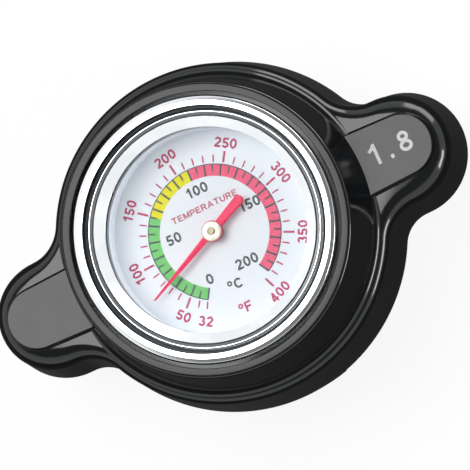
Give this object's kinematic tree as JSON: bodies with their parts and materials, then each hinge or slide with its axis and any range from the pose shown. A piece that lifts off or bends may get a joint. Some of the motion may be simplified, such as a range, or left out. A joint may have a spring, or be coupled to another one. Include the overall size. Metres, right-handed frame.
{
  "type": "radiator cap gauge",
  "caption": "Eared radiator pressure cap with a round dial thermometer in its collar, a bimetal probe, a bayonet shell, a sprung pressure valve and a small vacuum valve.",
  "frame": {"origin": "on the cap's axis, in the plane of the filler neck's rim where the neck gasket seals", "axes": "+Z out of the dial, +X along the ears, towards the ear that carries the pressure rating"},
  "size_m": [0.0816, 0.0566, 0.0414],
  "materials": {
    "black_plastic": "glossy black moulded plastic",
    "zinc_steel": "stamped steel, bright zinc plated",
    "bezel_chrome": "polished chrome plate",
    "glass": "clear flat glass",
    "black_rubber": "matt black rubber",
    "pale_plastic": "pale grey plastic",
    "dial_white": "printed white enamel",
    "case_steel": "drawn steel, satin",
    "brass": "turned brass",
    "bimetal": "dull copper coloured strip",
    "spindle_steel": "ground steel",
    "pointer_red": "satin red paint",
    "boss_steel": "pale nickel plated boss",
    "spring_steel": "drawn spring wire",
    "valve_steel": "stamped stainless steel"
  },
  "bodies": {
    "valve_head": {"disc_spring": "valve_steel", "neck_gasket": "black_rubber", "spring_cup": "valve_steel", "valve_guide": "valve_steel", "pressure_spring": "spring_steel"},
    "cap_body": {"grip_body": "black_plastic", "cap_shell": "zinc_steel", "gauge_bezel": "bezel_chrome", "glass_lens": "glass", "lens_gasket": "black_rubber", "spacer_ring": "pale_plastic", "dial_plate": "dial_white", "gauge_case": "case_steel", "case_seal": "black_rubber", "probe_tube": "brass", "probe_plug": "brass", "bimetal_coil": "bimetal", "upper_bush": "brass", "lower_bush": "brass", "probe_washer": "zinc_steel", "probe_nut": "brass"},
    "pointer": {"spindle": "spindle_steel", "pointer": "pointer_red", "pointer_boss": "boss_steel"},
    "pressure_valve": {"valve_sleeve": "valve_steel", "pressure_plate": "valve_steel", "pressure_seal": "black_rubber", "seal_clamp": "valve_steel", "vacuum_spring": "spring_steel"},
    "vacuum_valve": {"vacuum_valve": "brass", "vacuum_facing": "black_rubber", "vacuum_collar": "brass"}
  },
  "joints": [
    {"name": "cap_turn", "type": "hinge", "parent": "valve_head", "child": "cap_body", "pos_m": [0, 0, 0], "axis": [0, 0, 1], "continuous": true},
    {"name": "pointer_turn", "type": "hinge", "parent": "cap_body", "child": "pointer", "pos_m": [0, 0, 0.0141], "axis": [0, 0, 1], "range_deg": [-265, 35], "stiffness_Nm_per_rad": 0.0002},
    {"name": "valve_lift", "type": "slide", "parent": "valve_head", "child": "pressure_valve", "axis": [0, 0, 1], "range_m": [0, 0.004], "stiffness_N_per_m": 4000, "deforming": ["pressure_spring"]},
    {"name": "vacuum_open", "type": "slide", "parent": "pressure_valve", "child": "vacuum_valve", "axis": [0, 0, -1], "range_m": [0, 0.0012], "stiffness_N_per_m": 150, "springref_m": -0.0001, "deforming": ["vacuum_spring"]}
  ]
}
